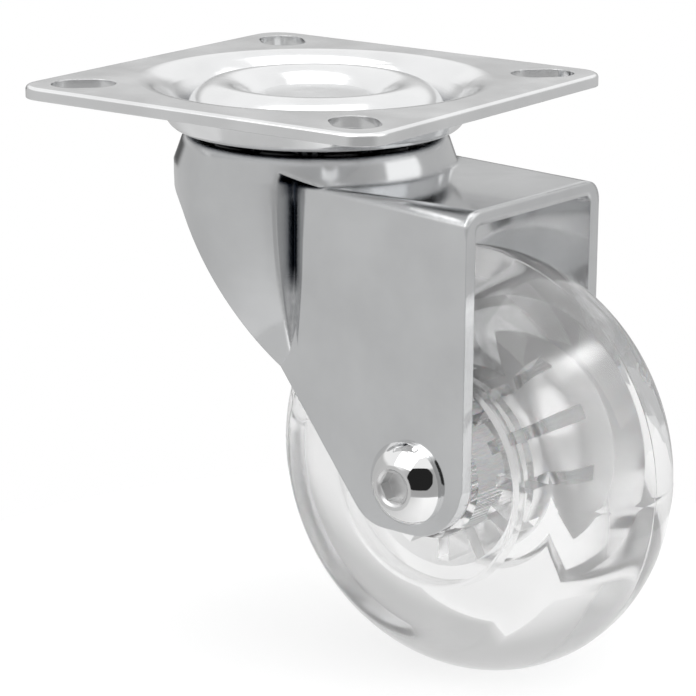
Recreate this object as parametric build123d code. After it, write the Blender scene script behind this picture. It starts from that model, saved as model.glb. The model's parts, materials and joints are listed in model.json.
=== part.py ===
from build123d import *
import os
from math import cos, radians, sin, sqrt, tan

# Swivel plate castor, in millimetres. The origin is the middle of the plate's top face, on the swivel axis,
# and +Z points up. The plate's diagonals lie along X and Y, so that its slots do too.

# Whole castor
WHEEL_DIAMETER = 60.0
AXLE_DROP = 49.7            # plate top to axle centre
TRAIL = 29.0                # swivel axis to axle centre
REST_SWIVEL = -49.0         # turn of the fork from +X at rest, degrees
FIT_GAP = 0.05              # radial clearance of a running fit

# Top plate
PLATE_MARGIN = 7.0          # square of the slots' centres to the plate's edge
PLATE_CORNER_R = 4.5
PLATE_SHEET = 1.7
PLATE_EDGE_R = 0.6
HOLE_SPACING = 46.0
SLOT_WIDTH = 6.6
SLOT_LENGTH = 9.0
CREST_DROP = 0.3            # top of the inner ring below the plate's top
CREST_INNER_SLOPE = 45.0    # degrees from level
CREST_OUTER_SLOPE = 72.0
BOWL_DEPTH = 3.5
BOWL_BEND_R = 1.5           # bends are measured at the middle of the sheet
VALLEY_DEPTH = 5.0
VALLEY_WIDTH = 1.8
VALLEY_INNER_BEND_R = 1.2
VALLEY_OUTER_BEND_R = 1.5
VALLEY_WALL_SLOPE = 56.5
PLATE_BEND_R = 3.5

# Swivel balls and king pin
UPPER_BALL = 6.0
UPPER_PITCH_R = 13.5
UPPER_COUNT = 10
LOWER_BALL = 4.0
LOWER_PITCH_R = 8.5
LOWER_COUNT = 9
RACE_GAP = 0.08
RACE_DEPTH = 0.35           # how deep a ball sits in a race pressed into flat sheet
PIN_R = 4.0
PIN_NECK_R = 3.2
PIN_HEAD_R = 7.6
PIN_HEAD_HEIGHT = 1.5
PIN_HEAD_EDGE = 0.4
PIN_CLOSED_R = 5.2
PIN_CLOSED_HEIGHT = 1.8
PIN_WASHER_R = 6.8
PIN_WASHER_SHEET = 1.2
CUP_SHEET = 1.6
CUP_RIM_R = 11.5            # middle of the cup's upright rim
CUP_RIM_RISE = 2.4
CUP_BEND_R = 1.4

# Fork
FORK_SHEET = 2.0
FORK_WIDTH = 30.0           # across the cheeks
REAR_MARGIN = 9.2           # axle centre to the open end
CROWN_GAP = 0.7             # plate's pressed ring to crown
CROWN_HEIGHT = 3.9          # crown above the flat box top
CROWN_R = 20.0              # at the box top
CROWN_TOP_R = 18.6          # its sloping wall, carried up to the top
CROWN_EDGE_R = 1.6
CROWN_HOLE_R = 6.0
SKIRT_SWELL_R = 95.0        # upright round of the skirt, which draws in below the crown
PINCH_MARGIN = 2.9          # cheek's flat face reaches this far in front of the crown's circle
GROOVE_WIDTH = 2.1          # cheek's flat face to the skirt's end wall
GROOVE_DEPTH = 1.5          # below the cheek's face, at the top
GROOVE_LENGTH = 26.0        # down to where it runs out
GROOVE_LIP_R = 0.8
CHEEK_EDGE_R = 3.0          # cheek's upright edge, along the groove
UNDERCUT = 1.7              # the crown's lower edge rises towards the groove
PINCH_BEND_R = 0.8          # top bend where it leaves the crown
BOX_BEND_R = 3.0            # top bend at the open end
INNER_BEND_R = 0.4          # tightest bend inside the sheet
CHEEK_MARGIN = 7.3          # axle centre to the cheek's lower edge
CHEEK_REAR_R = 8.5
CHEEK_LEAD_R = 6.0
LEAD_SLOPE = 51.5           # leading edge, degrees from level
LEAD_MARGIN = 10.1          # axle centre to the leading edge
LEAD_SWEEP_R = 9.0          # arc that carries the edge on into the skirt's hem
SKIRT_HEIGHT = 3.5          # box top to the hem at the front

# Axle
AXLE_R = 3.0
AXLE_HOLE_R = 3.2
SLEEVE_R = 4.0
BOLT_HEAD_R = 5.8
BOLT_HEAD_HEIGHT = 3.3
BOLT_RIM = 0.7
BOLT_FACE_R = 3.1
SOCKET_FLATS = 4.0
SOCKET_DEPTH = 2.1
SOCKET_BEVEL = 0.35
NUT_FLATS = 10.0
NUT_HEIGHT = 5.0
NUT_COLLAR_R = 4.4
NUT_COLLAR_HEIGHT = 2.0
NUT_RING_WALL = 0.9
NUT_WASHER_R = 6.0
NUT_WASHER_SHEET = 1.2
BOLT_END = 1.0              # bolt beyond the nut
BOLT_CHAMFER = 0.6

# Wheel
SIDE_WASHER_R = 7.0
SIDE_WASHER_SHEET = 0.8
SIDE_GAP = 0.25             # side washer to bush
BUSH_WALL = 1.5
BUSH_LENGTH = 9.0
BUSH_FLANGE_R = 7.6
BUSH_FLANGE = 1.2
HUB_WALL = 3.2
CORE_R = 16.0
CORE_RIM = 2.8
CORE_WEB = 2.4
RIB_COUNT = 12
RIB_WIDTH = 1.8
RIB_INSET = 2.0             # ribs end short of the rim's faces
WINDOW_LENGTH = 6.6         # along the axle
WINDOW_SHARE = 0.5          # window's part of its pitch round the rim
WINDOW_DEPTH = 1.4
MOULD_GAP = 0.05            # tyre to core
TYRE_SIDE_GAP = 1.0         # tyre to cheek
TYRE_COVER = 3.2            # tyre beyond the core, on each side
TREAD_CROWN = 2.0           # radius of the round tread, beyond half the tyre's width
TYRE_SHOULDER_R = 5.0
TYRE_LIP = 0.9
TYRE_EDGE_R = 0.6

# Levels and places that follow
PLATE_SIDE = HOLE_SPACING + 2 * PLATE_MARGIN
PLATE_MIDDLE = -PLATE_SHEET / 2
UPPER_BALL_Z = -(CREST_DROP + PLATE_SHEET + RACE_GAP + UPPER_BALL / 2)
CROWN_Z = -(VALLEY_DEPTH + PLATE_SHEET + CROWN_GAP)
UPPER_RACE_R = UPPER_BALL / 2 + RACE_GAP
LOWER_RACE_R = LOWER_BALL / 2 + RACE_GAP
LOWER_BALL_Z = CROWN_Z - FORK_SHEET + RACE_DEPTH - LOWER_RACE_R
CUP_Z = LOWER_BALL_Z - LOWER_RACE_R + RACE_DEPTH
PIN_WASHER_Z = CUP_Z - CUP_SHEET
BOX_Z = CROWN_Z - CROWN_HEIGHT
FORK_FLOOR = -AXLE_DROP - CHEEK_MARGIN
FORK_REACH = TRAIL + REAR_MARGIN
HALF_FORK = FORK_WIDTH / 2
HALF_INSIDE = HALF_FORK - FORK_SHEET
HALF_THROAT = HALF_FORK - GROOVE_DEPTH
PINCH_X = sqrt(CROWN_R ** 2 - HALF_FORK ** 2)
CHEEK_X = PINCH_X - PINCH_MARGIN
GROOVE_X = CHEEK_X - GROOVE_WIDTH
TYRE_WIDTH = 2 * (HALF_INSIDE - TYRE_SIDE_GAP)
TREAD_R = TYRE_WIDTH / 2 + TREAD_CROWN
CORE_WIDTH = TYRE_WIDTH - 2 * TYRE_COVER
AXLE = Vector(TRAIL, 0, -AXLE_DROP)
BUSH_FACE = HALF_INSIDE - SIDE_WASHER_SHEET - SIDE_GAP
HUB_FACE = BUSH_FACE - BUSH_FLANGE
HUB_BORE_R = SLEEVE_R + FIT_GAP + BUSH_WALL
HUB_R = HUB_BORE_R + HUB_WALL
NUT_FACE = HALF_FORK + NUT_WASHER_SHEET
NUT_TOP = NUT_FACE + NUT_HEIGHT + NUT_COLLAR_HEIGHT
BOLT_TIP = NUT_TOP + BOLT_END


def polar(radius, angle):
    return Vector(radius * cos(radians(angle)), radius * sin(radians(angle)))


def on_section(points):
    """Points given as (radius, height) on the XZ plane."""
    return [(radius, 0, height) for radius, height in points]


def turned(points):
    """Solid of revolution about Z from a closed outline of (radius, height) points."""
    return revolve(make_face(Polyline(*on_section(points), close=True)), Axis.Z)


def pipe(inner, outer, low, high):
    return turned([(inner, low), (outer, low), (outer, high), (inner, high)])


def torus(pitch, radius, height):
    return Pos(0, 0, height) * Torus(pitch, radius)


def offset_corners(points, distance):
    """Corners of a line drawn beside another one, distance to its left."""
    headings = [(b - a).normalized() for a, b in zip(points, points[1:])]
    normals = [Vector(-h.Y, h.X) for h in headings]
    corners = [points[0] + normals[0] * distance]
    for point, before, after in zip(points[1:], normals, normals[1:]):
        corners.append(point + (before + after) * (distance / (1 + before.dot(after))))
    return corners + [points[-1] + normals[-1] * distance]


def sheet_section(points, bends, sheet):
    """Face of bent sheet, from the corners and bend radii of the sheet's middle line."""
    points = [Vector(*p) for p in points]
    turns = []
    for a, b, c in zip(points, points[1:], points[2:]):
        turns.append(1 if (b - a).cross(c - b).Z > 0 else -1)
    sides = []
    for distance in (sheet / 2, -sheet / 2):
        corners = offset_corners(points, distance)
        radii = [bend - turn * distance for bend, turn in zip(bends, turns)]
        sides.append(FilletPolyline(*on_section([(c.X, c.Y) for c in corners]), radius=radii))
    left, right = sides
    ends = [Line(left @ 0, right @ 0), Line(left @ 1, right @ 1)]
    return make_face(left.edges() + right.edges() + ends)


def sheet_ring(points, bends, sheet):
    return revolve(sheet_section(points, bends, sheet), Axis.Z)


def top_plate():
    reach = UPPER_RACE_R + PLATE_SHEET / 2
    outer = 90 - CREST_OUTER_SLOPE
    inner = 90 + CREST_INNER_SLOPE
    apex = polar(reach / cos(radians((inner - outer) / 2)), (inner + outer) / 2)
    bowl = PLATE_MIDDLE - BOWL_DEPTH
    valley = PLATE_MIDDLE - VALLEY_DEPTH

    def on_crest_tangent(angle, height):
        lift = (height - UPPER_BALL_Z) * sin(radians(angle))
        return UPPER_PITCH_R + (reach - lift) / cos(radians(angle))

    valley_inner = on_crest_tangent(outer, valley)
    valley_outer = valley_inner + VALLEY_WIDTH
    brim = valley_outer + VALLEY_DEPTH / tan(radians(VALLEY_WALL_SLOPE))
    brim_end = brim + PLATE_BEND_R
    middle = [
        (PIN_R, bowl),
        (on_crest_tangent(inner, bowl), bowl),
        (UPPER_PITCH_R + apex.X, UPPER_BALL_Z + apex.Y),
        (valley_inner, valley),
        (valley_outer, valley),
        (brim, PLATE_MIDDLE),
        (brim_end, PLATE_MIDDLE),
    ]
    bends = [BOWL_BEND_R, reach, VALLEY_INNER_BEND_R, VALLEY_OUTER_BEND_R, PLATE_BEND_R]
    pressing = sheet_ring(middle, bends, PLATE_SHEET)
    flat = Rot(0, 0, 45) * RectangleRounded(PLATE_SIDE, PLATE_SIDE, PLATE_CORNER_R)
    flat = extrude(flat, -PLATE_SHEET)
    flat = fillet(flat.faces().sort_by(Axis.Z)[-1].edges(), PLATE_EDGE_R)
    flat -= pipe(0, brim_end, -PLATE_SHEET, 0)
    slot = extrude(SlotOverall(SLOT_LENGTH, SLOT_WIDTH), PLATE_SHEET, both=True)
    for turn in range(4):
        flat -= Rot(0, 0, 90 * turn) * Pos(HOLE_SPACING / sqrt(2), 0, 0) * slot
    return flat + pressing


def king_pin():
    head_z = PIN_HEAD_HEIGHT - BOWL_DEPTH
    closed_z = PIN_WASHER_Z - PIN_WASHER_SHEET
    tip_z = closed_z - PIN_CLOSED_HEIGHT
    return turned([
        (0, head_z),
        (PIN_HEAD_R - PIN_HEAD_EDGE, head_z),
        (PIN_HEAD_R, head_z - PIN_HEAD_EDGE),
        (PIN_HEAD_R, -BOWL_DEPTH),
        (PIN_R, -BOWL_DEPTH),
        (PIN_R, CUP_Z),
        (PIN_NECK_R, CUP_Z),
        (PIN_NECK_R, closed_z),
        (PIN_CLOSED_R, closed_z),
        (PIN_CLOSED_R, closed_z - PIN_CLOSED_HEIGHT / 2),
        (PIN_NECK_R, tip_z),
        (0, tip_z),
    ])


def lower_race_cup():
    middle_z = CUP_Z - CUP_SHEET / 2
    middle = [(PIN_NECK_R, middle_z), (CUP_RIM_R, middle_z), (CUP_RIM_R, middle_z + CUP_RIM_RISE)]
    cup = sheet_ring(middle, [CUP_BEND_R], CUP_SHEET)
    return cup - torus(LOWER_PITCH_R, LOWER_RACE_R, LOWER_BALL_Z)


def ball_row(diameter, pitch, count, height):
    balls = []
    for index in range(count):
        place = polar(pitch, 360 * index / count)
        balls.append(Pos(place.X, place.Y, height) * Sphere(diameter / 2))
    return Compound(balls)


def skirt(inset):
    """Round skirt under the crown: it draws in downwards and ends in an upright wall at the groove."""
    def edge(z):
        return CROWN_R - inset - SKIRT_SWELL_R + sqrt(SKIRT_SWELL_R ** 2 - (BOX_Z - z) ** 2), z

    low = -AXLE_DROP
    swell = ThreePointArc(*on_section([edge(BOX_Z), edge((BOX_Z + low) / 2), edge(low)]))
    rest = Polyline(*on_section([edge(low), (0, low), (0, BOX_Z), edge(BOX_Z)]))
    barrel = revolve(make_face(rest.edges() + [swell]), Axis.Z)
    body = split(barrel, Plane.YZ.offset(GROOVE_X - inset), keep=Keep.BOTTOM)
    lips = body.faces().sort_by(Axis.X)[-1].edges().sort_by(Axis.Y)
    return fillet([lips[0], lips[-1]], GROOVE_LIP_R) if inset == 0 else body


def throat(inset):
    """Block between skirt and cheeks; its sides are the floors of the grooves, which run out downwards."""
    top, deep, flush = BOX_Z - inset, HALF_THROAT - inset, HALF_FORK - inset
    half = [(0, top), (deep, top), (flush, BOX_Z - GROOVE_LENGTH), (flush, FORK_FLOOR), (0, FORK_FLOOR)]
    section = make_face(Polyline(*[(0, y, z) for y, z in half], close=True))
    block = extrude(section, CHEEK_X, dir=(1, 0, 0))
    return block + mirror(block, Plane.XZ)


def box_section(inset, x, bend):
    """Section of the box across the wheel, with bent upper corners."""
    height = BOX_Z - inset - FORK_FLOOR
    section = Pos(0, FORK_FLOOR + height / 2) * Rectangle(FORK_WIDTH - 2 * inset, height)
    return Plane.YZ.offset(x) * fillet(section.vertices().group_by(Axis.Y)[-1], bend)


def cheeks(inset):
    """The box: upright rounded edges along the grooves, then a top bend that widens to the open end."""
    height = BOX_Z - inset - FORK_FLOOR
    front_x, edge_r = CHEEK_X - CHEEK_EDGE_R + inset, CHEEK_EDGE_R - inset
    length = PINCH_X - front_x
    plan = Pos(front_x + length / 2, 0) * Rectangle(length, FORK_WIDTH - 2 * inset)
    plan = fillet(plan.vertices().group_by(Axis.X)[0], edge_r)
    front = Pos(0, 0, FORK_FLOOR) * extrude(plan, height)
    start_r = PINCH_BEND_R if inset == 0 else INNER_BEND_R
    if inset == 0:
        rims = front.faces().sort_by(Axis.Z)[-1].edges().sort_by(Axis.X)[:-1]
        front = fillet(rims, start_r)
    rear = loft([box_section(inset, PINCH_X, start_r), box_section(inset, FORK_REACH, BOX_BEND_R - inset)])
    return front + rear


def crown():
    """Round crown above the box; beside the grooves its lower edge is cut away at a slope."""
    disc = Pos(0, 0, (BOX_Z + CROWN_Z) / 2) * Cone(CROWN_R, CROWN_TOP_R, CROWN_HEIGHT)
    disc = fillet(disc.faces().sort_by(Axis.Z)[-1].edges(), CROWN_EDGE_R)
    slope = make_face(Polyline(*on_section([
        (GROOVE_X, BOX_Z), (PINCH_X, BOX_Z), (GROOVE_X, BOX_Z + UNDERCUT),
    ]), close=True))
    for side in (1, -1):
        disc -= Pos(0, side * HALF_THROAT, 0) * extrude(slope, CROWN_R, dir=(0, side, 0))
    return disc


def crown_hollow():
    """Room inside the crown, over the skirt and the throat."""
    low, high = BOX_Z - FORK_SHEET, CROWN_Z - FORK_SHEET
    wall_x, half = GROOVE_X - FORK_SHEET, HALF_THROAT - FORK_SHEET
    round_r = CROWN_R - FORK_SHEET
    plan = Circle(round_r) & Pos(wall_x - round_r, 0) * Rectangle(2 * round_r, 2 * round_r)
    plan += Circle(round_r) & Pos(round_r / 2, 0) * Rectangle(round_r, 2 * half)
    return Pos(0, 0, low) * extrude(plan, high - low)


def fork_side():
    """Side outline of the fork on the XZ plane: open end, cheek's foot and the swept leading edge."""
    away = -polar(1, 90 - LEAD_SLOPE)
    up = polar(1, 180 - LEAD_SLOPE)
    axle = Vector(TRAIL, -AXLE_DROP)
    foot = axle + away * LEAD_MARGIN
    low, hem = FORK_FLOOR, BOX_Z - SKIRT_HEIGHT
    toe = foot + up * ((low - foot.Y) / up.Y)
    bend = foot + up * ((hem - foot.Y) / up.Y)
    front = -CROWN_R - FORK_SHEET
    corners = [(FORK_REACH, 0), (FORK_REACH, low), (toe.X, low), (bend.X, hem), (front, hem)]
    edge = FilletPolyline(*on_section(corners), radius=[CHEEK_REAR_R, CHEEK_LEAD_R, LEAD_SWEEP_R])
    closing = Polyline(*on_section([(front, hem), (front, 0), (FORK_REACH, 0)]))
    return make_face(edge.edges() + closing.edges())


def along_axle(solid):
    """Moves a piece turned about Z onto the axle, with its +Z towards the nut."""
    return Pos(AXLE) * Rot(-90, 0, 0) * solid


def fork():
    outside = skirt(0) + throat(0) + cheeks(0) + crown()
    inside = skirt(FORK_SHEET) + throat(FORK_SHEET) + cheeks(FORK_SHEET)
    shell = outside - inside - crown_hollow()
    shell = shell & extrude(fork_side(), FORK_WIDTH + 2 * CROWN_R, both=True)
    shell -= pipe(0, CROWN_HOLE_R, CROWN_Z - 2 * FORK_SHEET, CROWN_Z + FORK_SHEET)
    shell -= torus(UPPER_PITCH_R, UPPER_RACE_R, UPPER_BALL_Z)
    shell -= torus(LOWER_PITCH_R, LOWER_RACE_R, LOWER_BALL_Z)
    return shell - along_axle(pipe(0, AXLE_HOLE_R, -FORK_WIDTH, FORK_WIDTH))


def axle_bolt():
    seat = -HALF_FORK
    face = seat - BOLT_HEAD_HEIGHT
    rim = seat - BOLT_RIM
    rise = rim - face
    centre = rim + (BOLT_HEAD_R ** 2 - BOLT_FACE_R ** 2 - rise ** 2) / (2 * rise)
    dome_r = sqrt(BOLT_HEAD_R ** 2 + (centre - rim) ** 2)
    middle_r = (BOLT_HEAD_R + BOLT_FACE_R) / 2
    dome_middle = (middle_r, centre - sqrt(dome_r ** 2 - middle_r ** 2))
    dome = ThreePointArc(*on_section([(BOLT_HEAD_R, rim), dome_middle, (BOLT_FACE_R, face)]))
    rest = Polyline(*on_section([
        (BOLT_FACE_R, face),
        (0, face),
        (0, BOLT_TIP),
        (AXLE_R - BOLT_CHAMFER, BOLT_TIP),
        (AXLE_R, BOLT_TIP - BOLT_CHAMFER),
        (AXLE_R, seat),
        (BOLT_HEAD_R, seat),
        (BOLT_HEAD_R, rim),
    ]))
    bolt = revolve(make_face(rest.edges() + [dome]), Axis.Z)
    socket_r = SOCKET_FLATS / 2
    socket = Pos(0, 0, face) * extrude(RegularPolygon(socket_r, 6, major_radius=False), SOCKET_DEPTH)
    corner_r = socket_r / cos(radians(30))
    bevel = Pos(0, 0, face + SOCKET_BEVEL / 2) * Cone(corner_r + SOCKET_BEVEL, corner_r, SOCKET_BEVEL)
    return along_axle(bolt - socket - bevel)


def axle_nut():
    body = Pos(0, 0, NUT_FACE) * extrude(RegularPolygon(NUT_FLATS / 2, 6, major_radius=False), NUT_HEIGHT)
    body += pipe(0, NUT_COLLAR_R, NUT_FACE + NUT_HEIGHT, NUT_TOP)
    body -= pipe(0, AXLE_R, NUT_FACE, NUT_TOP)
    return along_axle(body - pipe(0, AXLE_R + NUT_RING_WALL, NUT_FACE + NUT_HEIGHT, NUT_TOP))


def nut_ring():
    return along_axle(pipe(AXLE_R, AXLE_R + NUT_RING_WALL, NUT_FACE + NUT_HEIGHT, NUT_TOP))


def both_sides(low_piece):
    """A piece on the nut's side and the same piece on the bolt head's side."""
    return along_axle(low_piece), along_axle(Rot(180, 0, 0) * low_piece)


def side_washer():
    return pipe(SLEEVE_R + FIT_GAP, SIDE_WASHER_R, HALF_INSIDE - SIDE_WASHER_SHEET, HALF_INSIDE)


def bush():
    bore = SLEEVE_R + FIT_GAP
    inner_end = BUSH_FACE - BUSH_LENGTH
    return turned([
        (bore, inner_end),
        (HUB_BORE_R, inner_end),
        (HUB_BORE_R, HUB_FACE),
        (BUSH_FLANGE_R, HUB_FACE),
        (BUSH_FLANGE_R, BUSH_FACE),
        (bore, BUSH_FACE),
    ])


def window_blocks(clearance):
    """Blocks for the rim's windows, smaller by a clearance: cut from the core and moulded onto the tyre."""
    pitch = 360 / RIB_COUNT
    low, high = CORE_R - WINDOW_DEPTH + clearance, CORE_R + WINDOW_DEPTH
    width = WINDOW_SHARE * CORE_R * radians(pitch) - 2 * clearance
    block = Pos((low + high) / 2, 0, 0) * Box(high - low, width, WINDOW_LENGTH - 2 * clearance)
    return [Rot(0, 0, (index + 0.5) * pitch) * block for index in range(RIB_COUNT)]


def wheel_core():
    half, rim_inner = CORE_WIDTH / 2, CORE_R - CORE_RIM
    core = pipe(HUB_BORE_R, HUB_R, -HUB_FACE, HUB_FACE)
    core += pipe(HUB_R, rim_inner, -CORE_WEB / 2, CORE_WEB / 2)
    rim = pipe(rim_inner, CORE_R, -half, half) - window_blocks(0)
    rib = Pos((HUB_R + rim_inner) / 2, 0, 0) * Box(CORE_R - HUB_R, RIB_WIDTH, CORE_WIDTH - 2 * RIB_INSET)
    ribs = [Rot(0, 0, 360 * index / RIB_COUNT) * rib for index in range(RIB_COUNT)]
    ribs = (Part() + ribs) & pipe(HUB_R, rim_inner, -half, half)
    return along_axle(core + ribs + rim)


def wheel_tyre():
    radius, half = WHEEL_DIAMETER / 2, TYRE_WIDTH / 2
    edge_r = radius - TREAD_R + sqrt(TREAD_R ** 2 - half ** 2)
    tread = make_face([
        ThreePointArc(*on_section([(edge_r, -half), (radius, 0), (edge_r, half)])),
        *Polyline(*on_section([(edge_r, half), (CORE_R, half), (CORE_R, -half), (edge_r, -half)])).edges(),
    ])
    tyre = revolve(tread, Axis.Z)
    rounds = tyre.edges().filter_by(GeomType.CIRCLE)
    tyre = fillet([e for e in rounds if abs(e.radius - edge_r) < MOULD_GAP], TYRE_SHOULDER_R)
    lip_r, seat_half = CORE_R - TYRE_LIP, CORE_WIDTH / 2 + MOULD_GAP
    lips = pipe(lip_r, CORE_R, -half, half)
    tyre = tyre + lips - pipe(0, CORE_R + MOULD_GAP, -seat_half, seat_half) + window_blocks(MOULD_GAP)
    mouths = [e for e in tyre.edges().filter_by(GeomType.CIRCLE) if abs(abs(e.center().Z) - half) < MOULD_GAP]
    mouths = [e for e in mouths if e.radius < CORE_R]
    return along_axle(fillet(mouths, TYRE_EDGE_R))


def pieces():
    """Every sub-part by name: the plate's own, then those that turn with the fork."""
    far_washer, near_washer = both_sides(side_washer())
    far_bush, near_bush = both_sides(bush())
    fixed = {
        "top_plate": top_plate(),
        "king_pin": king_pin(),
        "lower_race_cup": lower_race_cup(),
        "king_pin_washer": pipe(PIN_NECK_R, PIN_WASHER_R, PIN_WASHER_Z - PIN_WASHER_SHEET, PIN_WASHER_Z),
    }
    turning = {
        "upper_balls": ball_row(UPPER_BALL, UPPER_PITCH_R, UPPER_COUNT, UPPER_BALL_Z),
        "lower_balls": ball_row(LOWER_BALL, LOWER_PITCH_R, LOWER_COUNT, LOWER_BALL_Z),
        "fork": fork(),
        "axle_bolt": axle_bolt(),
        "axle_sleeve": along_axle(pipe(AXLE_HOLE_R, SLEEVE_R, -HALF_INSIDE, HALF_INSIDE)),
        "near_side_washer": near_washer,
        "far_side_washer": far_washer,
        "nut_washer": along_axle(pipe(AXLE_HOLE_R, NUT_WASHER_R, HALF_FORK, NUT_FACE)),
        "axle_nut": axle_nut(),
        "nut_ring": nut_ring(),
        "wheel_core": wheel_core(),
        "wheel_tyre": wheel_tyre(),
        "near_bush": near_bush,
        "far_bush": far_bush,
    }
    for name, piece in turning.items():
        fixed[name] = Rot(0, 0, REST_SWIVEL) * piece
    return fixed


os.makedirs("parts", exist_ok=True)
for node, piece in pieces().items():
    export_step(piece, f"parts/{node}.step")
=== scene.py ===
import json
from math import asin, atan2, cos, degrees, pi, radians, sin, sqrt

import bmesh
import bpy
from mathutils import Matrix, Vector


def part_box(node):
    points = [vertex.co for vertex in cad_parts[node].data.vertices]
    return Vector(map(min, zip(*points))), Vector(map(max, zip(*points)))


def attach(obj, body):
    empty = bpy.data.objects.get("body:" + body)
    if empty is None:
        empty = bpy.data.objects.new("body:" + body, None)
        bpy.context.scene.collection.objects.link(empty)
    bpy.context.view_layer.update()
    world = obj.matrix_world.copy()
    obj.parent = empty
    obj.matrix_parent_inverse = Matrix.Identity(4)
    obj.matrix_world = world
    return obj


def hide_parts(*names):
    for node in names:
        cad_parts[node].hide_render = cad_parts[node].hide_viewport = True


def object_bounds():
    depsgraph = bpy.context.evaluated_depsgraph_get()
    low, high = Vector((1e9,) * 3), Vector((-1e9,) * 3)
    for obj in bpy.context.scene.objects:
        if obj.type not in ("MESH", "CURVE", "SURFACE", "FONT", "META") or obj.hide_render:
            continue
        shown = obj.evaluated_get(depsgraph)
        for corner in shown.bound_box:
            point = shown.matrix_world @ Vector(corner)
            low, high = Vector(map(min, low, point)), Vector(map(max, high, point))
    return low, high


# The looks of a swivel plate castor: bright plated steel, a polished axle bolt and a clear wheel.
# Lengths are in metres, in the frame of the loaded model, and angles in degrees.

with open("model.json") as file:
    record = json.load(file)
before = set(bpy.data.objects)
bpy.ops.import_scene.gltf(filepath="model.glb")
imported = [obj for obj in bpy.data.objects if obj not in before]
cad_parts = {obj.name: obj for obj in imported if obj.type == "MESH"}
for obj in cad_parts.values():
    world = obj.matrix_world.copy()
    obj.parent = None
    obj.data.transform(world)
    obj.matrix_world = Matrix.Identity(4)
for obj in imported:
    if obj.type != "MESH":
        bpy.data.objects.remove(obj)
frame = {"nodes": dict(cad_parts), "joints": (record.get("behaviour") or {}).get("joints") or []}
CAD_LOW, CAD_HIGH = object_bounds()
MM = 0.001

# Camera, as fitted to the plate's corners in the photograph
CAMERA_AZIMUTH = -9.6469
CAMERA_ELEVATION = 15.2927
CAMERA_ROLL = 0.4142
CAMERA_DISTANCE = 417.73 * MM
CAMERA_LEFT = 4.4809 * MM
CAMERA_DOWN = 37.7906 * MM
FOCAL_PIXELS = 2982.24
FRAME_PIXELS = 696
SENSOR_MM = 36.0
CLIP_START = 10 * MM

# Floor
FLOOR_RADIUS = 80 * MM
FLOOR_SEGMENTS = 96
FLOOR_DROP = 0.1 * MM
FLOOR_SHADE = 0.55
FLOOR_GLOW = 0.5
FLOOR_THROUGH = 0.3           # part of the floor's glow that shows through the clear wheel
FLOOR_FADE = (-35 * MM, 0.0)  # metal mirrors the glow from the second place on, and none left of the first

# Studio: the brightness of its sides, and the parts of a direction between which one side fades into another
STUDIO_LEFT = 0.60
STUDIO_RIGHT = 0.56
SIDES_EDGE = (-0.7, 0.5)
STUDIO_BACK = 0.56
BACK_EDGE = (0.2, 0.8)
STUDIO_FRONT = 0.42
FRONT_EDGE = (-0.5, -0.9)
STUDIO_TOP = 1.0
TOP_EDGE = (0.38, 0.50)
TOP_SLANT = 0.2               # the bright top starts lower behind
STUDIO_FLOOR = 0.75
FLOOR_EDGE = (-0.4, -0.6)
STUDIO_HORIZON = 0.12         # dark band far behind
HORIZON_FOOT = (-0.22, -0.1)
HORIZON_HEAD = (0.1, 0.02)
HORIZON_EDGE = (0.85, 0.95)
THROUGH_FRONT = 0.80          # the studio's front and top, as seen through the clear wheel
THROUGH_FRONT_EDGE = (-0.6, 0.3)
THROUGH_TOP = 0.55
THROUGH_TOP_EDGE = (-0.2, 0.05)

# Dark card close to the bolt's dome: a painted dark reflection in the bolt, for the opening that the camera
# looks through
CARD_DISTANCE = 7.5 * MM
CARD_SIZE = (12 * MM, 10.5 * MM)
CARD_REACH = 9 * MM           # only what is nearer than this reflects it
CARD_SHADE = 0.02
DOME_DEPTH = 5.9 * MM         # the dome's centre, below the bolt's face
DOME_R = 6.7 * MM

# Noises: waves to the metre, and the range that their values mostly lie in
NOISE_RANGE = (0.3, 0.7)
CLOUD_SCALE = 90
SPECKLE_SCALE = 900
GRAIN_SCALE = 400
WAVE_SCALE = 60
FLOW_SCALE = 70
MILK_SCALE = 500
EVEN = (1, 1, 1)
DRAWN_DOWN = (1, 1, 0.06)     # grain drawn out along the fork's height

# Plated sheet
SPECKLE_GLOSS = (-0.01, 0.015)
EDGE_ROUND = 0.22 * MM
EDGE_SAMPLES = 4
CROWN_ROUND = 1.1 * MM        # softer edges on the drawn crown, above its foot
CROWN_FOOT = (-15.0 * MM, -13.5 * MM)
CREVICE_SHADE_REACH = 3.5 * MM
CREVICE_RANGE = (0.3, 0.75)   # openness where the painted crevice shade is full, and where it has gone
# dark blue of the painted shade in crevices and where parts meet
CREVICE_SHADE_COLOUR = (0.03, 0.04, 0.06, 1.0)
GROOVE_FADE = (-27.0 * MM, -23.0 * MM)   # painted shade stays in the fork's grooves above this height
GROOVE_MATT = 0.5             # below it they are matt and grainy
# colours of the lower grooves: grainy zinc, lightened as painted light from below
GROOVE_LIT_GRAIN = ((0.72, 0.73, 0.74, 1.0), (1.0, 1.0, 1.0, 1.0))

# Plastics
SHADOW_SHARE = 0.95           # light that each clear surface lets through into its shadow
MILK_SHADE = 0.94             # the darker clouds in milky plastic
MILK_GLOSS = 0.05
MILK_SHARE = 0.3              # light that goes into milky plastic, and how deep
MILK_DEPTH = 0.5 * MM

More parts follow.
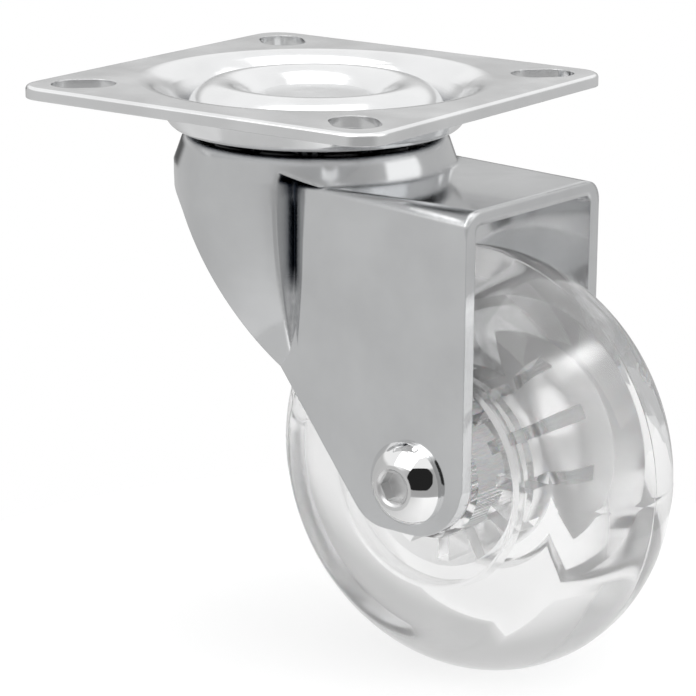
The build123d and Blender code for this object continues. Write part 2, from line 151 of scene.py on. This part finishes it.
# Tyre, with the sizes of its solid
TYRE_HALF = 12.0 * MM
TREAD_R = 14.0 * MM
SHOULDER_R = 5.0 * MM
BORE_R = 16.05 * MM
SEAT_HALF = 8.85 * MM
SEAT_TOLERANCE = 0.1 * MM
LIP_R = 15.1 * MM
LIP_EDGE_R = 0.6 * MM
LIP_FLAT = 1.8 * MM           # part of the tyre's flat side that belongs to the lip
TREAD_STEPS = 40
SHOULDER_STEPS = 16
LIP_STEPS = 6
TYRE_SEGMENTS = 256
SMOOTH_ANGLE = 40
PARTING_WIDTH = 0.16 * MM
PARTING_HEIGHT = 0.03 * MM
FLASH_HEIGHT = 0.05 * MM      # line left by the mould's two halves, across the tread
FLASH_HALF = 0.25 * MM
FLASH_REACH = 11.0 * MM       # from the tread inwards
GATE_TURN = 148.0             # round mark left by the mould's gate
GATE_ALONG = 4.2 * MM
GATE_FROM_AXLE = 29.4 * MM
GATE_RING_R = 1.6 * MM
GATE_RING_HALF = 0.4 * MM
GATE_HEIGHT = 0.03 * MM

# Core and bolt: which of their faces have which material
HUB, BONDED, INSIDE = range(3)
CORE_BOND_R = 14.3 * MM       # the core's surface beyond this is bonded to the tyre
CORE_FACE = 8.7 * MM
CORE_INSIDE_R = 9.2 * MM      # beyond this are the core's ribs, less polished by the mould
SOCKET_R = 2.6 * MM           # the bolt's hex socket lies within this
HEAD_SIDE = -1                # the bolt's head is at the axle line's start

# Axle, from the frame
JOINTS = {joint["name"]: joint for joint in frame["joints"]}
AXLE_POINT = Vector(JOINTS["wheel_spin"]["pos_m"])
AXLE_LINE = Vector(JOINTS["wheel_spin"]["axis"]).normalized()
AXLE_TURN = AXLE_LINE.to_track_quat("Z", "Y").to_matrix().to_4x4()
AXLE_FRAME = Matrix.Translation(AXLE_POINT) @ AXLE_TURN


# Node helpers

class Nodes:
    """A material's or the world's node tree, with short calls for the nodes used here."""

    def __init__(self, tree):
        self.tree = tree
        tree.nodes.clear()

    def add(self, kind, inputs=None, **settings):
        """A new node; an input is a value or another node's socket."""
        node = self.tree.nodes.new(kind)
        for key, value in settings.items():
            setattr(node, key, value)
        for key, value in (inputs or {}).items():
            if isinstance(value, bpy.types.NodeSocket):
                self.tree.links.new(value, node.inputs[key])
            else:
                node.inputs[key].default_value = value
        return node

    def position(self, scale=EVEN):
        """Place on the object in its own frame, stretched by scale."""
        place = self.add("ShaderNodeTexCoord").outputs["Object"]
        return self.add("ShaderNodeMapping", {"Vector": place, "Scale": scale}).outputs["Vector"]

    def noise(self, place, scale, detail):
        settings = {"Vector": place, "Scale": scale, "Detail": detail}
        return self.add("ShaderNodeTexNoise", settings).outputs["Fac"]

    def spread(self, value, low, high, reach=NOISE_RANGE):
        """The value moved from the range reach to the range from low to high, and kept within it."""
        settings = {"Value": value, "From Min": reach[0], "From Max": reach[1], "To Min": low, "To Max": high}
        return self.add("ShaderNodeMapRange", settings).outputs["Result"]

    def step(self, value, edge):
        """Soft step from 0 at the edge's first value to 1 at its second."""
        settings = {"Value": value, "From Min": edge[0], "From Max": edge[1]}
        node = self.add("ShaderNodeMapRange", settings, interpolation_type="SMOOTHSTEP")
        return node.outputs["Result"]

    def math(self, operation, a, b=0.0):
        return self.add("ShaderNodeMath", {0: a, 1: b}, operation=operation).outputs[0]

    def blend(self, share, a, b):
        """Number between a and b."""
        return self.add("ShaderNodeMix", {0: share, 2: a, 3: b}, data_type="FLOAT").outputs[0]

    def mix(self, share, a, b):
        """Colour between a and b."""
        return self.add("ShaderNodeMix", {0: share, 6: a, 7: b}, data_type="RGBA").outputs[2]

    def bump(self, height, distance, under=None):
        """Normal with a relief, laid over the normal under if there is one."""
        inputs = {"Height": height, "Distance": distance}
        if under is not None:
            inputs["Normal"] = under
        return self.add("ShaderNodeBump", inputs).outputs["Normal"]


def grey(level, tint=0.0):
    """Neutral colour, slightly blue with a positive tint."""
    return (level * (1 - tint), level, level * (1 + tint), 1.0)


def new_material(name):
    material = bpy.data.materials.new(name)
    material.use_nodes = True
    return material, Nodes(material.node_tree)


def finish_surface(nodes, shader):
    nodes.add("ShaderNodeOutputMaterial", {"Surface": shader.outputs[0]})


# Materials

def plated_steel(name, dark, light, roughness=None, wave_height=0.0, grain_height=0.0,
                 grain_stretch=EVEN, crevice_shade=None):
    """Bright plating: slow waves, fine grain, a cloudy gloss and soft edges.

    roughness is the cloudy gloss's range, or None for a perfect mirror.
    crevices is None, "plain" for painted shade in crevices and where other parts come close, or "fork" for
    painted shade in the fork's own crevices only, with its softer crown.
    """
    material, nodes = new_material(name)
    place = nodes.position()
    cloud = nodes.noise(place, CLOUD_SCALE, detail=4)
    speckle = nodes.noise(place, SPECKLE_SCALE, detail=2)
    grain = nodes.noise(nodes.position(grain_stretch), GRAIN_SCALE, detail=3)
    waves = nodes.noise(place, WAVE_SCALE, detail=1)
    colour = nodes.mix(nodes.spread(cloud, 0, 1), dark, light)
    gloss = 0.0
    if roughness is not None:
        speckled = nodes.spread(speckle, *SPECKLE_GLOSS)
        gloss = nodes.math("ADD", nodes.spread(cloud, *roughness), speckled)
    edge_round = EDGE_ROUND
    if crevice_shade:
        # painted shade: crevices and corners are darkened by their ambient occlusion
        openness = nodes.add("ShaderNodeAmbientOcclusion", {"Distance": CREVICE_SHADE_REACH},
                             samples=EDGE_SAMPLES, only_local=crevice_shade == "fork").outputs["AO"]
        unshaded_share = nodes.spread(openness, 0, 1, CREVICE_RANGE)
        if crevice_shade == "fork":
            height = nodes.add("ShaderNodeSeparateXYZ", {0: place}).outputs["Z"]
            lit_share = nodes.spread(height, 1, 0, GROOVE_FADE)
            closed_share = nodes.math("SUBTRACT", 1.0, unshaded_share)
            matt_lit_share = nodes.math("MULTIPLY", closed_share, lit_share)
            gloss = nodes.math("ADD", gloss, nodes.math("MULTIPLY", matt_lit_share, GROOVE_MATT))
            # partly painted light: the matt grainy zinc low in the grooves is lightened as if lit from below
            grainy = nodes.mix(nodes.spread(speckle, 0, 1), *GROOVE_LIT_GRAIN)
            colour = nodes.mix(matt_lit_share, colour, grainy)
            unshaded_share = nodes.math("MAXIMUM", unshaded_share, lit_share)
            edge_round = nodes.spread(height, EDGE_ROUND, CROWN_ROUND, CROWN_FOOT)
        # painted shade in crevices, towards the dark blue crevice colour
        colour = nodes.mix(unshaded_share, CREVICE_SHADE_COLOUR, colour)
    rounded = nodes.add("ShaderNodeBevel", {"Radius": edge_round}, samples=EDGE_SAMPLES)
    relief = nodes.bump(waves, wave_height, under=rounded.outputs["Normal"])
    relief = nodes.bump(grain, grain_height, under=relief)
    shader = nodes.add("ShaderNodeBsdfPrincipled", {
        "Base Color": colour, "Metallic": 1.0, "Roughness": gloss, "Normal": relief,
    })
    finish_surface(nodes, shader)
    return material


def clear_plastic(name, colour, ior, roughness, flow_height=0.0, haze=0.0, gate=None):
    """Clear moulded plastic: faint flow waves and haze, and a round mark at the gate if there is one.

    It lets most of a shadow's light through.
    """
    material, nodes = new_material(name)
    place = nodes.position()
    flow = nodes.noise(place, FLOW_SCALE, detail=2)
    relief = nodes.bump(flow, flow_height)
    if gate is not None:
        away = nodes.add("ShaderNodeVectorMath", {0: place, 1: gate}, operation="DISTANCE")
        off_ring = nodes.math("SUBTRACT", away.outputs["Value"], GATE_RING_R)
        ring = nodes.spread(nodes.math("ABSOLUTE", off_ring), 1, 0, (0.0, GATE_RING_HALF))
        relief = nodes.bump(ring, GATE_HEIGHT, under=relief)
    shader = nodes.add("ShaderNodeBsdfPrincipled", {
        "Base Color": colour, "Roughness": roughness, "IOR": ior, "Transmission Weight": 1 - haze,
        "Normal": relief,
    })
    through = nodes.add("ShaderNodeBsdfTransparent", {"Color": grey(SHADOW_SHARE)})
    ray = nodes.add("ShaderNodeLightPath")
    share = nodes.math("MAXIMUM", ray.outputs["Is Shadow Ray"], ray.outputs["Is Diffuse Ray"])
    mixed = nodes.add("ShaderNodeMixShader", {0: share, 1: shader.outputs[0], 2: through.outputs[0]})
    finish_surface(nodes, mixed)
    return material


def natural_plastic(name, colour, roughness):
    """Milky natural plastic with a little light going through."""
    material, nodes = new_material(name)
    cloud = nodes.noise(nodes.position(), MILK_SCALE, detail=3)
    shade = tuple(MILK_SHADE * c for c in colour[:3]) + (1.0,)
    shader = nodes.add("ShaderNodeBsdfPrincipled", {
        "Base Color": nodes.mix(nodes.spread(cloud, 0, 1), shade, colour),
        "Roughness": nodes.spread(cloud, roughness - MILK_GLOSS, roughness + MILK_GLOSS),
        "Subsurface Weight": MILK_SHARE, "Subsurface Scale": MILK_DEPTH,
    })
    finish_surface(nodes, shader)
    return material


def paint(node, material):
    """Gives a CAD node's mesh one material."""
    slots = frame["nodes"][node].data.materials
    slots.clear()
    slots.append(material)


# Meshes

def arc(centre, radius, start, end, count):
    """Points on an arc, as (radius from the axis, place along it), angles in degrees."""
    points = []
    for index in range(count + 1):
        angle = radians(start + (end - start) * index / count)
        points.append((centre[0] + radius * cos(angle), centre[1] + radius * sin(angle)))
    return points


def ring_turns(segments, radius):
    """Turns of a wheel's rings, each with its rise: even steps, and a flash line at two opposite sides."""
    half = FLASH_HALF / radius
    opposite = segments // 2
    turns = [(2 * pi * index / segments, 0.0) for index in range(segments) if index % opposite]
    for middle in (0.0, pi):
        turns += [(middle - half, 0.0), (middle, FLASH_HEIGHT), (middle + half, 0.0)]
    return sorted(turns)


def lathe(name, outline, segments, place):
    """Closed ring turned from a closed outline of (radius, along) points, with flash lines, set in place."""
    mesh = bmesh.new()
    outside = max(r for r, along in outline)
    rings = []
    for turn, rise in ring_turns(segments, outside):
        ring = []
        for r, along in outline:
            raised = r + rise if r > outside - FLASH_REACH else r
            ring.append(mesh.verts.new((raised * cos(turn), raised * sin(turn), along)))
        rings.append(ring)
    for ring, following in zip(rings, rings[1:] + rings[:1]):
        for a in range(len(outline)):
            b = (a + 1) % len(outline)
            face = mesh.faces.new((ring[a], following[a], following[b], ring[b]))
            face.smooth = True
    bmesh.ops.recalc_face_normals(mesh, faces=mesh.faces)
    data = bpy.data.meshes.new(name)
    mesh.to_mesh(data)
    mesh.free()
    data.transform(place)
    piece = bpy.data.objects.new(name, data)
    bpy.context.scene.collection.objects.link(piece)
    data.set_sharp_from_angle(angle=radians(SMOOTH_ANGLE))
    return piece


def tyre_outline():
    """The tyre's section: round tread with a fine parting line, shoulders, sides and lips over the core."""
    low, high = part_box("wheel_tyre")
    radius = (high.z - low.z) / 2
    tread_centre = (radius - TREAD_R, 0)
    shoulder_along = TYRE_HALF - SHOULDER_R
    shoulder_at = tread_centre[0] + sqrt((TREAD_R - SHOULDER_R) ** 2 - shoulder_along ** 2)
    meet = degrees(atan2(shoulder_along, shoulder_at - tread_centre[0]))
    parting = degrees(asin(PARTING_WIDTH / TREAD_R))
    lip_centre = (LIP_R + LIP_EDGE_R, TYRE_HALF - LIP_EDGE_R)
    half = [(radius + PARTING_HEIGHT, 0)]
    half += arc(tread_centre, TREAD_R, parting, meet, TREAD_STEPS)
    half += arc((shoulder_at, shoulder_along), SHOULDER_R, meet, 90, SHOULDER_STEPS)[1:]
    half += [(LIP_R + LIP_FLAT, TYRE_HALF)]
    half += arc(lip_centre, LIP_EDGE_R, 90, 180, LIP_STEPS)
    half += [(LIP_R, SEAT_HALF), (BORE_R, SEAT_HALF)]
    other = [(r, -along) for r, along in reversed(half[1:])]
    return half + other


def on_axle(point):
    """Distance of a point from the axle's line, and its place along it."""
    away = point - AXLE_POINT
    along = away.dot(AXLE_LINE)
    return (away - along * AXLE_LINE).length, along


def gate_point():
    """The gate's place on the tread, at rest."""
    turn = radians(GATE_TURN)
    return AXLE_FRAME @ Vector((GATE_FROM_AXLE * cos(turn), GATE_FROM_AXLE * sin(turn), GATE_ALONG))


def dress_copy(name, node, body, materials, choose):
    """A node's own mesh with several materials: choose gives a face's one from its place on the axle."""
    data = frame["nodes"][node].data.copy()
    piece = bpy.data.objects.new(name, data)
    bpy.context.scene.collection.objects.link(piece)
    data.materials.clear()
    for material in materials:
        data.materials.append(material)
    for face in data.polygons:
        face.material_index = choose(*on_axle(face.center))
    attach(piece, body)
    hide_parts(node)


def core_part(radius, along):
    """The core's material: of the hub, of the surface bonded to the tyre or of the ribs inside."""
    if radius > CORE_BOND_R and abs(along) < CORE_FACE:
        return BONDED
    return INSIDE if radius > CORE_INSIDE_R else HUB


def bolt_part(radius, along):
    """The bolt's material: 0, or 1 in the hex socket, which is at the end of the head."""
    return int(radius < SOCKET_R and along * HEAD_SIDE > 0)


def make_tyre(clear, bonded):
    """The lathed tyre, with the bonded material where it sits on the core."""
    tyre = lathe("clear_tyre", tyre_outline(), TYRE_SEGMENTS, AXLE_FRAME)
    for material in (clear, bonded):
        tyre.data.materials.append(material)
    for face in tyre.data.polygons:
        radius, along = on_axle(face.center)
        in_bore = radius < BORE_R + SEAT_TOLERANCE
        in_seat = abs(along) < SEAT_HALF + SEAT_TOLERANCE
        face.material_index = int(in_bore and in_seat)
    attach(tyre, "wheel")
    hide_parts("wheel_tyre")


# Stage, light and camera

def toward(azimuth, elevation):
    """Direction from the castor to a place round it, the azimuth counted from the front to the right."""
    a, e = radians(azimuth), radians(elevation)
    return Vector((sin(a) * cos(e), -cos(a) * cos(e), sin(e)))


def camera_axes():
    """Directions to the camera, to its right and to its top, before its roll."""
    back = toward(CAMERA_AZIMUTH, CAMERA_ELEVATION)
    right = Vector((0, 0, 1)).cross(back).normalized()
    return back, right, back.cross(right)


def make_floor():
    """Pale floor with the castor's soft shadow, glowing to the camera, in metal and through the wheel."""
    mesh = bpy.data.meshes.new("floor")
    form = bmesh.new()
    bmesh.ops.create_circle(form, cap_ends=True, segments=FLOOR_SEGMENTS, radius=FLOOR_RADIUS)
    form.to_mesh(mesh)
    form.free()
    floor = bpy.data.objects.new("floor", mesh)
    floor.location = (AXLE_POINT.x / 2, AXLE_POINT.y / 2, CAD_LOW.z - FLOOR_DROP)
    bpy.context.scene.collection.objects.link(floor)
    material, nodes = new_material("pale_floor")
    ray = nodes.add("ShaderNodeLightPath")
    across = nodes.add("ShaderNodeSeparateXYZ", {0: nodes.position()}).outputs["X"]
    faded = nodes.spread(across, 0, 1, FLOOR_FADE)
    mirrored = nodes.math("MULTIPLY", ray.outputs["Is Glossy Ray"], faded)
    through = nodes.math("MULTIPLY", ray.outputs["Is Transmission Ray"], FLOOR_THROUGH)
    seen = nodes.math("MAXIMUM", ray.outputs["Is Camera Ray"], through)
    seen = nodes.math("MAXIMUM", seen, mirrored)
    strength = nodes.math("MULTIPLY", seen, FLOOR_GLOW)
    lit = nodes.add("ShaderNodeBsdfDiffuse", {"Color": grey(FLOOR_SHADE)})
    glow = nodes.add("ShaderNodeEmission", {"Color": grey(1.0), "Strength": strength})
    both = nodes.add("ShaderNodeAddShader", {0: lit.outputs[0], 1: glow.outputs[0]})
    finish_surface(nodes, both)
    mesh.materials.append(material)


def make_card():
    """Dark card that the bolt's mirror finish alone shows: a painted dark reflection, for the opening that
    the camera looks through.
    """
    back, right, up = camera_axes()
    bolt = frame["nodes"]["axle_bolt"].data
    face = min(on_axle(vertex.co)[1] for vertex in bolt.vertices)
    dome = AXLE_POINT + AXLE_LINE * (face + DOME_DEPTH)
    centre = dome + back * (DOME_R + CARD_DISTANCE)
    wide, tall = CARD_SIZE
    corners = [centre + right * x * wide / 2 + up * y * tall / 2
               for x, y in ((-1, -1), (1, -1), (1, 1), (-1, 1))]
    mesh = bpy.data.meshes.new("card")
    mesh.from_pydata(corners, [], [(0, 1, 2, 3)])
    card = bpy.data.objects.new("card", mesh)
    bpy.context.scene.collection.objects.link(card)
    material, nodes = new_material("painted_reflection_card")
    ray = nodes.add("ShaderNodeLightPath")
    clear = nodes.add("ShaderNodeBsdfTransparent")
    # painted dark reflection: only mirror rays that end close to the bolt see it
    dark = nodes.add("ShaderNodeEmission", {"Color": grey(CARD_SHADE)})
    near = nodes.math("LESS_THAN", ray.outputs["Ray Length"], CARD_REACH)
    mirrored = nodes.math("MULTIPLY", ray.outputs["Is Glossy Ray"], ray.outputs["Is Singular Ray"])
    shown = nodes.math("MULTIPLY", mirrored, near)
    mixed = nodes.add("ShaderNodeMixShader", {0: shown, 1: clear.outputs[0], 2: dark.outputs[0]})
    finish_surface(nodes, mixed)
    mesh.materials.append(material)


def make_world():
    """White behind the castor; around it a studio that is white above, grey at the sides, darker in front."""
    world = bpy.data.worlds.new("studio")
    world.use_nodes = True
    bpy.context.scene.world = world
    nodes = Nodes(world.node_tree)
    direction = nodes.add("ShaderNodeTexCoord").outputs["Generated"]
    across, along, height = nodes.add("ShaderNodeSeparateXYZ", {0: direction}).outputs
    level = nodes.blend(nodes.step(across, SIDES_EDGE), STUDIO_LEFT, STUDIO_RIGHT)
    level = nodes.blend(nodes.step(along, BACK_EDGE), level, STUDIO_BACK)
    level = nodes.blend(nodes.step(along, FRONT_EDGE), level, STUDIO_FRONT)
    slanted = nodes.math("ADD", height, nodes.math("MULTIPLY", along, TOP_SLANT))
    level = nodes.blend(nodes.step(slanted, TOP_EDGE), level, STUDIO_TOP)
    band = nodes.math("MULTIPLY", nodes.step(height, HORIZON_FOOT), nodes.step(height, HORIZON_HEAD))
    band = nodes.math("MULTIPLY", band, nodes.step(along, HORIZON_EDGE))
    level = nodes.blend(band, level, STUDIO_HORIZON)
    level = nodes.blend(nodes.step(height, FLOOR_EDGE), level, STUDIO_FLOOR)
    ray = nodes.add("ShaderNodeLightPath")
    through = nodes.blend(nodes.step(along, THROUGH_FRONT_EDGE), THROUGH_FRONT, 1.0)
    through = nodes.blend(nodes.step(height, THROUGH_TOP_EDGE), through, THROUGH_TOP)
    level = nodes.blend(ray.outputs["Is Transmission Ray"], level, through)
    level = nodes.blend(ray.outputs["Is Camera Ray"], level, 1.0)
    shade = nodes.add("ShaderNodeCombineColor", {0: level, 1: level, 2: level}).outputs[0]
    background = nodes.add("ShaderNodeBackground", {"Color": shade, "Strength": 1.0})
    nodes.add("ShaderNodeOutputWorld", {"Surface": background.outputs[0]})


def make_light(name, azimuth, elevation, distance, size, power):
    """Rectangular soft box that faces the castor's middle."""
    light = bpy.data.lights.new(name, "AREA")
    light.shape = "RECTANGLE"
    light.size, light.size_y = size
    light.energy = power
    lamp = bpy.data.objects.new(name, light)
    bpy.context.scene.collection.objects.link(lamp)
    away = toward(azimuth, elevation)
    lamp.location = (CAD_LOW + CAD_HIGH) / 2 + away * distance
    lamp.rotation_euler = away.to_track_quat("Z", "Y").to_euler()


def make_camera():
    """The photograph's camera."""
    back, right, up = camera_axes()
    roll = radians(CAMERA_ROLL)
    rolled_right = cos(roll) * right + sin(roll) * up
    rolled_up = cos(roll) * up - sin(roll) * right
    camera = bpy.data.cameras.new("camera")
    camera.sensor_width = SENSOR_MM
    camera.lens = FOCAL_PIXELS / FRAME_PIXELS * SENSOR_MM
    camera.clip_start = CLIP_START
    holder = bpy.data.objects.new("camera", camera)
    bpy.context.scene.collection.objects.link(holder)
    turn = Matrix((rolled_right, rolled_up, back)).transposed().to_4x4()
    place = rolled_right * CAMERA_LEFT - rolled_up * CAMERA_DOWN + back * CAMERA_DISTANCE
    holder.matrix_world = Matrix.Translation(place) @ turn
    bpy.context.scene.camera = holder


def dress_metal():
    """Plated steel on the CAD's own nodes."""
    fork_zinc = plated_steel("fork_zinc", grey(0.70, 0.01), grey(0.78, 0.01), roughness=(0.07, 0.12),
                             wave_height=0.02 * MM, grain_height=0.002 * MM, grain_stretch=DRAWN_DOWN,
                             crevice_shade="fork")
    plate_zinc = plated_steel("plate_zinc", grey(0.80, 0.005), grey(0.90, 0.005), roughness=(0.12, 0.22),
                              wave_height=0.03 * MM, grain_height=0.01 * MM, crevice_shade="plain")
    nut_zinc = plated_steel("nut_zinc", grey(0.58, 0.01), grey(0.68, 0.01), roughness=(0.14, 0.24),
                            wave_height=0.01 * MM, grain_height=0.003 * MM, crevice_shade="plain")
    race_steel = plated_steel("race_steel", grey(0.58), grey(0.66), roughness=(0.22, 0.34),
                              wave_height=0.01 * MM, grain_height=0.003 * MM)
    ball_steel = plated_steel("ball_steel", grey(0.16), grey(0.24), roughness=(0.25, 0.35))
    paint("fork", fork_zinc)
    for node in ("top_plate", "king_pin"):
        paint(node, plate_zinc)
    for node in ("axle_nut", "nut_washer"):
        paint(node, nut_zinc)
    for node in ("lower_race_cup", "king_pin_washer", "axle_sleeve", "near_side_washer", "far_side_washer"):
        paint(node, race_steel)
    for node in ("upper_balls", "lower_balls"):
        paint(node, ball_steel)


def dress_plastic():
    """Natural plastic on the bushes and the nut's ring."""
    acetal = natural_plastic("natural_acetal", grey(0.84, 0.01), roughness=0.38)
    nylon = natural_plastic("natural_nylon", grey(0.78, 0.02), roughness=0.42)
    for node in ("near_bush", "far_bush"):
        paint(node, acetal)
    paint("nut_ring", nylon)


def dress_core(bonded):
    """The clear core, with the bonded material where the tyre is moulded on."""
    clear_core = clear_plastic("clear_core", grey(0.985), ior=1.5, roughness=0.10,
                               flow_height=0.004 * MM, haze=0.12)
    core_inside = clear_plastic("core_inside", grey(0.985), ior=1.45, roughness=0.17,
                                flow_height=0.01 * MM, haze=0.08)
    materials = (clear_core, bonded, core_inside)
    dress_copy("clear_core", "wheel_core", "wheel", materials, core_part)


def dress_bolt():
    """The polished bolt with its rougher socket."""
    bolt_chrome = plated_steel("bolt_chrome", grey(0.80), grey(0.86), wave_height=0.004 * MM)
    socket_steel = plated_steel("socket_steel", grey(0.72), grey(0.84), roughness=(0.30, 0.42),
                                grain_height=0.004 * MM)
    materials = (bolt_chrome, socket_steel)
    dress_copy("button_bolt", "axle_bolt", "fork_frame", materials, bolt_part)


def dress_tyre(bonded):
    """The clear tyre with its gate mark."""
    clear_tyre = clear_plastic("clear_tyre", grey(0.98), ior=1.46, roughness=0.06,
                               flow_height=0.006 * MM, haze=0.16, gate=gate_point())
    make_tyre(clear_tyre, bonded)


def dress():
    """Every piece in its material; tyre and core are optically one where they are bonded."""
    dress_metal()
    dress_plastic()
    bonded = clear_plastic("bonded_plastic", grey(1.0), ior=1.0, roughness=0.0)
    dress_core(bonded)
    dress_bolt()
    dress_tyre(bonded)


def light_and_camera():
    """The stage, the light and the camera."""
    make_floor()
    make_card()
    make_world()
    make_light("key_box", azimuth=-60, elevation=50, distance=0.6, size=(0.5, 0.35), power=0.6)
    make_light("fill_box", azimuth=70, elevation=35, distance=0.7, size=(0.4, 0.5), power=0.4)
    make_light("top_box", azimuth=10, elevation=85, distance=0.6, size=(0.5, 0.5), power=0.7)
    make_camera()
    bpy.context.scene.view_settings.view_transform = "Standard"


dress()
light_and_camera()
